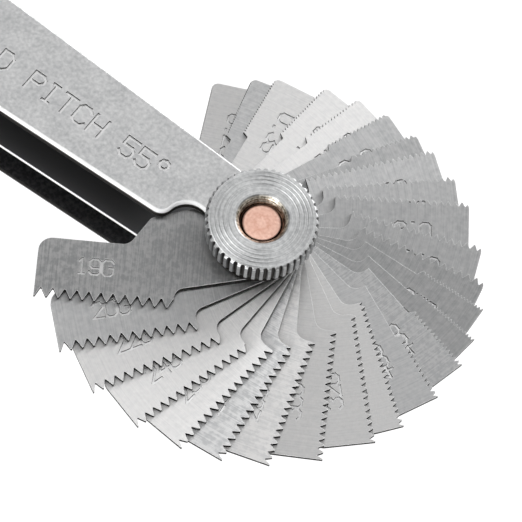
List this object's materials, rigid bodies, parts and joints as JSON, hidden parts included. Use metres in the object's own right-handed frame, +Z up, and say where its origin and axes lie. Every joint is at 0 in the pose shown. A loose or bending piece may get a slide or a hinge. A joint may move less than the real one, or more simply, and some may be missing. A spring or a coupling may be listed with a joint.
{
  "type": "screw pitch gauge",
  "caption": "Double-ended screw pitch gauge: toothed steel leaves swing out of a folded sheet case on two screws with knurled nuts; one pack fanned, one folded.",
  "frame": {"origin": "axis of the fine end's screw, at the underside of its head", "axes": "+Z up along both screws; the case runs along -X to the other screw; its open side faces -Y"},
  "size_m": [0.0986, 0.0521, 0.0208],
  "materials": {
    "case_steel": "tumbled satin",
    "leaf_steel": "ground, faint cross brushing",
    "nut_steel": "turned, bright",
    "screw_copper": "copper-coloured, faced end"
  },
  "bodies": {
    "root": {"channel_case": "case_steel", "divider_plate": "case_steel", "pivot_screw_fine": "screw_copper", "pivot_screw_coarse": "screw_copper"},
    "nut_fine": {"knurled_nut_fine": "nut_steel"},
    "nut_coarse": {"knurled_nut_coarse": "nut_steel"},
    "inch_19": {"leaf_19_per_inch": "leaf_steel"},
    "inch_20": {"leaf_20_per_inch": "leaf_steel"},
    "inch_22": {"leaf_22_per_inch": "leaf_steel"},
    "inch_24": {"leaf_24_per_inch": "leaf_steel"},
    "inch_25": {"leaf_25_per_inch": "leaf_steel"},
    "inch_26": {"leaf_26_per_inch": "leaf_steel"},
    "inch_28": {"leaf_28_per_inch": "leaf_steel"},
    "inch_30": {"leaf_30_per_inch": "leaf_steel"},
    "inch_32": {"leaf_32_per_inch": "leaf_steel"},
    "inch_36": {"leaf_36_per_inch": "leaf_steel"},
    "inch_40": {"leaf_40_per_inch": "leaf_steel"},
    "inch_48": {"leaf_48_per_inch": "leaf_steel"},
    "inch_60": {"leaf_60_per_inch": "leaf_steel"},
    "inch_62": {"leaf_62_per_inch": "leaf_steel"},
    "mm_1_0": {"leaf_1_0_mm": "leaf_steel"},
    "mm_0_9": {"leaf_0_9_mm": "leaf_steel"},
    "mm_0_8": {"leaf_0_8_mm": "leaf_steel"},
    "mm_0_75": {"leaf_0_75_mm": "leaf_steel"},
    "mm_0_7": {"leaf_0_7_mm": "leaf_steel"},
    "mm_0_6": {"leaf_0_6_mm": "leaf_steel"},
    "mm_0_5": {"leaf_0_5_mm": "leaf_steel"},
    "mm_0_45": {"leaf_0_45_mm": "leaf_steel"},
    "mm_0_4": {"leaf_0_4_mm": "leaf_steel"},
    "mm_0_35": {"leaf_0_35_mm": "leaf_steel"},
    "mm_0_3": {"leaf_0_3_mm": "leaf_steel"},
    "mm_0_25": {"leaf_0_25_mm": "leaf_steel"},
    "inch_4": {"leaf_4_per_inch": "leaf_steel"},
    "inch_4_5": {"leaf_4_5_per_inch": "leaf_steel"},
    "inch_5": {"leaf_5_per_inch": "leaf_steel"},
    "inch_6": {"leaf_6_per_inch": "leaf_steel"},
    "inch_7": {"leaf_7_per_inch": "leaf_steel"},
    "inch_8": {"leaf_8_per_inch": "leaf_steel"},
    "inch_9": {"leaf_9_per_inch": "leaf_steel"},
    "inch_10": {"leaf_10_per_inch": "leaf_steel"},
    "inch_11": {"leaf_11_per_inch": "leaf_steel"},
    "inch_12": {"leaf_12_per_inch": "leaf_steel"},
    "inch_13": {"leaf_13_per_inch": "leaf_steel"},
    "inch_14": {"leaf_14_per_inch": "leaf_steel"},
    "inch_16": {"leaf_16_per_inch": "leaf_steel"},
    "inch_18": {"leaf_18_per_inch": "leaf_steel"},
    "mm_1_25": {"leaf_1_25_mm": "leaf_steel"},
    "mm_1_5": {"leaf_1_5_mm": "leaf_steel"},
    "mm_1_75": {"leaf_1_75_mm": "leaf_steel"},
    "mm_2_0": {"leaf_2_0_mm": "leaf_steel"},
    "mm_2_5": {"leaf_2_5_mm": "leaf_steel"},
    "mm_3_0": {"leaf_3_0_mm": "leaf_steel"},
    "mm_3_5": {"leaf_3_5_mm": "leaf_steel"},
    "mm_4_0": {"leaf_4_0_mm": "leaf_steel"},
    "mm_4_5": {"leaf_4_5_mm": "leaf_steel"},
    "mm_5_0": {"leaf_5_0_mm": "leaf_steel"},
    "mm_5_5": {"leaf_5_5_mm": "leaf_steel"},
    "mm_6_0": {"leaf_6_0_mm": "leaf_steel"}
  },
  "joints": [
    {"name": "nut_fine_turn", "type": "hinge", "parent": "root", "child": "nut_fine", "pos_m": [0, 0, 0.01798], "axis": [0, 0, 1], "range_deg": [0, 180]},
    {"name": "nut_coarse_turn", "type": "hinge", "parent": "root", "child": "nut_coarse", "pos_m": [-0.066, 0, 0.01798], "axis": [0, 0, 1], "range_deg": [0, 180]},
    {"name": "inch_19_hinge", "type": "hinge", "parent": "root", "child": "inch_19", "pos_m": [0, 0, 0.0026], "axis": [0, 0, 1], "range_deg": [-47.87, 265.5]},
    {"name": "inch_20_hinge", "type": "hinge", "parent": "root", "child": "inch_20", "pos_m": [0, 0, 0.0026], "axis": [0, 0, 1], "range_deg": [-63.37, 250]},
    {"name": "inch_22_hinge", "type": "hinge", "parent": "root", "child": "inch_22", "pos_m": [0, 0, 0.0026], "axis": [0, 0, 1], "range_deg": [-76.37, 237]},
    {"name": "inch_24_hinge", "type": "hinge", "parent": "root", "child": "inch_24", "pos_m": [0, 0, 0.0026], "axis": [0, 0, 1], "range_deg": [-89.87, 223.5]},
    {"name": "inch_25_hinge", "type": "hinge", "parent": "root", "child": "inch_25", "pos_m": [0, 0, 0.0026], "axis": [0, 0, 1], "range_deg": [-101.37, 212]},
    {"name": "inch_26_hinge", "type": "hinge", "parent": "root", "child": "inch_26", "pos_m": [0, 0, 0.0026], "axis": [0, 0, 1], "range_deg": [-111.37, 202]},
    {"name": "inch_28_hinge", "type": "hinge", "parent": "root", "child": "inch_28", "pos_m": [0, 0, 0.0026], "axis": [0, 0, 1], "range_deg": [-122.87, 190.5]},
    {"name": "inch_30_hinge", "type": "hinge", "parent": "root", "child": "inch_30", "pos_m": [0, 0, 0.0026], "axis": [0, 0, 1], "range_deg": [-135.87, 177.5]},
    {"name": "inch_32_hinge", "type": "hinge", "parent": "root", "child": "inch_32", "pos_m": [0, 0, 0.0026], "axis": [0, 0, 1], "range_deg": [-149.87, 163.5]},
    {"name": "inch_36_hinge", "type": "hinge", "parent": "root", "child": "inch_36", "pos_m": [0, 0, 0.0026], "axis": [0, 0, 1], "range_deg": [-158.37, 155]},
    {"name": "inch_40_hinge", "type": "hinge", "parent": "root", "child": "inch_40", "pos_m": [0, 0, 0.0026], "axis": [0, 0, 1], "range_deg": [-170.37, 143]},
    {"name": "inch_48_hinge", "type": "hinge", "parent": "root", "child": "inch_48", "pos_m": [0, 0, 0.0026], "axis": [0, 0, 1], "range_deg": [-181.37, 132]},
    {"name": "inch_60_hinge", "type": "hinge", "parent": "root", "child": "inch_60", "pos_m": [0, 0, 0.0026], "axis": [0, 0, 1], "range_deg": [-189.37, 124]},
    {"name": "inch_62_hinge", "type": "hinge", "parent": "root", "child": "inch_62", "pos_m": [0, 0, 0.0026], "axis": [0, 0, 1], "range_deg": [-198.37, 115]},
    {"name": "mm_1_0_hinge", "type": "hinge", "parent": "root", "child": "mm_1_0", "pos_m": [0, 0, 0.0026], "axis": [0, 0, 1], "range_deg": [-206.87, 106.5]},
    {"name": "mm_0_9_hinge", "type": "hinge", "parent": "root", "child": "mm_0_9", "pos_m": [0, 0, 0.0026], "axis": [0, 0, 1], "range_deg": [-216.87, 96.5]},
    {"name": "mm_0_8_hinge", "type": "hinge", "parent": "root", "child": "mm_0_8", "pos_m": [0, 0, 0.0026], "axis": [0, 0, 1], "range_deg": [-229.87, 83.5]},
    {"name": "mm_0_75_hinge", "type": "hinge", "parent": "root", "child": "mm_0_75", "pos_m": [0, 0, 0.0026], "axis": [0, 0, 1], "range_deg": [-238.37, 75]},
    {"name": "mm_0_7_hinge", "type": "hinge", "parent": "root", "child": "mm_0_7", "pos_m": [0, 0, 0.0026], "axis": [0, 0, 1], "range_deg": [-247.87, 65.5]},
    {"name": "mm_0_6_hinge", "type": "hinge", "parent": "root", "child": "mm_0_6", "pos_m": [0, 0, 0.0026], "axis": [0, 0, 1], "range_deg": [-254.37, 59]},
    {"name": "mm_0_5_hinge", "type": "hinge", "parent": "root", "child": "mm_0_5", "pos_m": [0, 0, 0.0026], "axis": [0, 0, 1], "range_deg": [-263.87, 49.5]},
    {"name": "mm_0_45_hinge", "type": "hinge", "parent": "root", "child": "mm_0_45", "pos_m": [0, 0, 0.0026], "axis": [0, 0, 1], "range_deg": [-272.37, 41]},
    {"name": "mm_0_4_hinge", "type": "hinge", "parent": "root", "child": "mm_0_4", "pos_m": [0, 0, 0.0026], "axis": [0, 0, 1], "range_deg": [-281.37, 32]},
    {"name": "mm_0_35_hinge", "type": "hinge", "parent": "root", "child": "mm_0_35", "pos_m": [0, 0, 0.0026], "axis": [0, 0, 1], "range_deg": [-294.37, 19]},
    {"name": "mm_0_3_hinge", "type": "hinge", "parent": "root", "child": "mm_0_3", "pos_m": [0, 0, 0.0026], "axis": [0, 0, 1], "range_deg": [-300.37, 13]},
    {"name": "mm_0_25_hinge", "type": "hinge", "parent": "root", "child": "mm_0_25", "pos_m": [0, 0, 0.0026], "axis": [0, 0, 1], "range_deg": [-310.37, 3]},
    {"name": "inch_4_hinge", "type": "hinge", "parent": "root", "child": "inch_4", "pos_m": [-0.066, 0, 0.0026], "axis": [0, 0, -1], "range_deg": [0, 313.37]},
    {"name": "inch_4_5_hinge", "type": "hinge", "parent": "root", "child": "inch_4_5", "pos_m": [-0.066, 0, 0.0026], "axis": [0, 0, -1], "range_deg": [0, 313.37]},
    {"name": "inch_5_hinge", "type": "hinge", "parent": "root", "child": "inch_5", "pos_m": [-0.066, 0, 0.0026], "axis": [0, 0, -1], "range_deg": [0, 313.37]},
    {"name": "inch_6_hinge", "type": "hinge", "parent": "root", "child": "inch_6", "pos_m": [-0.066, 0, 0.0026], "axis": [0, 0, -1], "range_deg": [0, 313.37]},
    {"name": "inch_7_hinge", "type": "hinge", "parent": "root", "child": "inch_7", "pos_m": [-0.066, 0, 0.0026], "axis": [0, 0, -1], "range_deg": [0, 313.37]},
    {"name": "inch_8_hinge", "type": "hinge", "parent": "root", "child": "inch_8", "pos_m": [-0.066, 0, 0.0026], "axis": [0, 0, -1], "range_deg": [0, 313.37]},
    {"name": "inch_9_hinge", "type": "hinge", "parent": "root", "child": "inch_9", "pos_m": [-0.066, 0, 0.0026], "axis": [0, 0, -1], "range_deg": [0, 313.37]},
    {"name": "inch_10_hinge", "type": "hinge", "parent": "root", "child": "inch_10", "pos_m": [-0.066, 0, 0.0026], "axis": [0, 0, -1], "range_deg": [0, 313.37]},
    {"name": "inch_11_hinge", "type": "hinge", "parent": "root", "child": "inch_11", "pos_m": [-0.066, 0, 0.0026], "axis": [0, 0, -1], "range_deg": [0, 313.37]},
    {"name": "inch_12_hinge", "type": "hinge", "parent": "root", "child": "inch_12", "pos_m": [-0.066, 0, 0.0026], "axis": [0, 0, -1], "range_deg": [0, 313.37]},
    {"name": "inch_13_hinge", "type": "hinge", "parent": "root", "child": "inch_13", "pos_m": [-0.066, 0, 0.0026], "axis": [0, 0, -1], "range_deg": [0, 313.37]},
    {"name": "inch_14_hinge", "type": "hinge", "parent": "root", "child": "inch_14", "pos_m": [-0.066, 0, 0.0026], "axis": [0, 0, -1], "range_deg": [0, 313.37]},
    {"name": "inch_16_hinge", "type": "hinge", "parent": "root", "child": "inch_16", "pos_m": [-0.066, 0, 0.0026], "axis": [0, 0, -1], "range_deg": [0, 313.37]},
    {"name": "inch_18_hinge", "type": "hinge", "parent": "root", "child": "inch_18", "pos_m": [-0.066, 0, 0.0026], "axis": [0, 0, -1], "range_deg": [0, 313.37]},
    {"name": "mm_1_25_hinge", "type": "hinge", "parent": "root", "child": "mm_1_25", "pos_m": [-0.066, 0, 0.0026], "axis": [0, 0, -1], "range_deg": [0, 313.37]},
    {"name": "mm_1_5_hinge", "type": "hinge", "parent": "root", "child": "mm_1_5", "pos_m": [-0.066, 0, 0.0026], "axis": [0, 0, -1], "range_deg": [0, 313.37]},
    {"name": "mm_1_75_hinge", "type": "hinge", "parent": "root", "child": "mm_1_75", "pos_m": [-0.066, 0, 0.0026], "axis": [0, 0, -1], "range_deg": [0, 313.37]},
    {"name": "mm_2_0_hinge", "type": "hinge", "parent": "root", "child": "mm_2_0", "pos_m": [-0.066, 0, 0.0026], "axis": [0, 0, -1], "range_deg": [0, 313.37]},
    {"name": "mm_2_5_hinge", "type": "hinge", "parent": "root", "child": "mm_2_5", "pos_m": [-0.066, 0, 0.0026], "axis": [0, 0, -1], "range_deg": [0, 313.37]},
    {"name": "mm_3_0_hinge", "type": "hinge", "parent": "root", "child": "mm_3_0", "pos_m": [-0.066, 0, 0.0026], "axis": [0, 0, -1], "range_deg": [0, 313.37]},
    {"name": "mm_3_5_hinge", "type": "hinge", "parent": "root", "child": "mm_3_5", "pos_m": [-0.066, 0, 0.0026], "axis": [0, 0, -1], "range_deg": [0, 313.37]},
    {"name": "mm_4_0_hinge", "type": "hinge", "parent": "root", "child": "mm_4_0", "pos_m": [-0.066, 0, 0.0026], "axis": [0, 0, -1], "range_deg": [0, 313.37]},
    {"name": "mm_4_5_hinge", "type": "hinge", "parent": "root", "child": "mm_4_5", "pos_m": [-0.066, 0, 0.0026], "axis": [0, 0, -1], "range_deg": [0, 313.37]},
    {"name": "mm_5_0_hinge", "type": "hinge", "parent": "root", "child": "mm_5_0", "pos_m": [-0.066, 0, 0.0026], "axis": [0, 0, -1], "range_deg": [0, 313.37]},
    {"name": "mm_5_5_hinge", "type": "hinge", "parent": "root", "child": "mm_5_5", "pos_m": [-0.066, 0, 0.0026], "axis": [0, 0, -1], "range_deg": [0, 313.37]},
    {"name": "mm_6_0_hinge", "type": "hinge", "parent": "root", "child": "mm_6_0", "pos_m": [-0.066, 0, 0.0026], "axis": [0, 0, -1], "range_deg": [0, 313.37]}
  ]
}
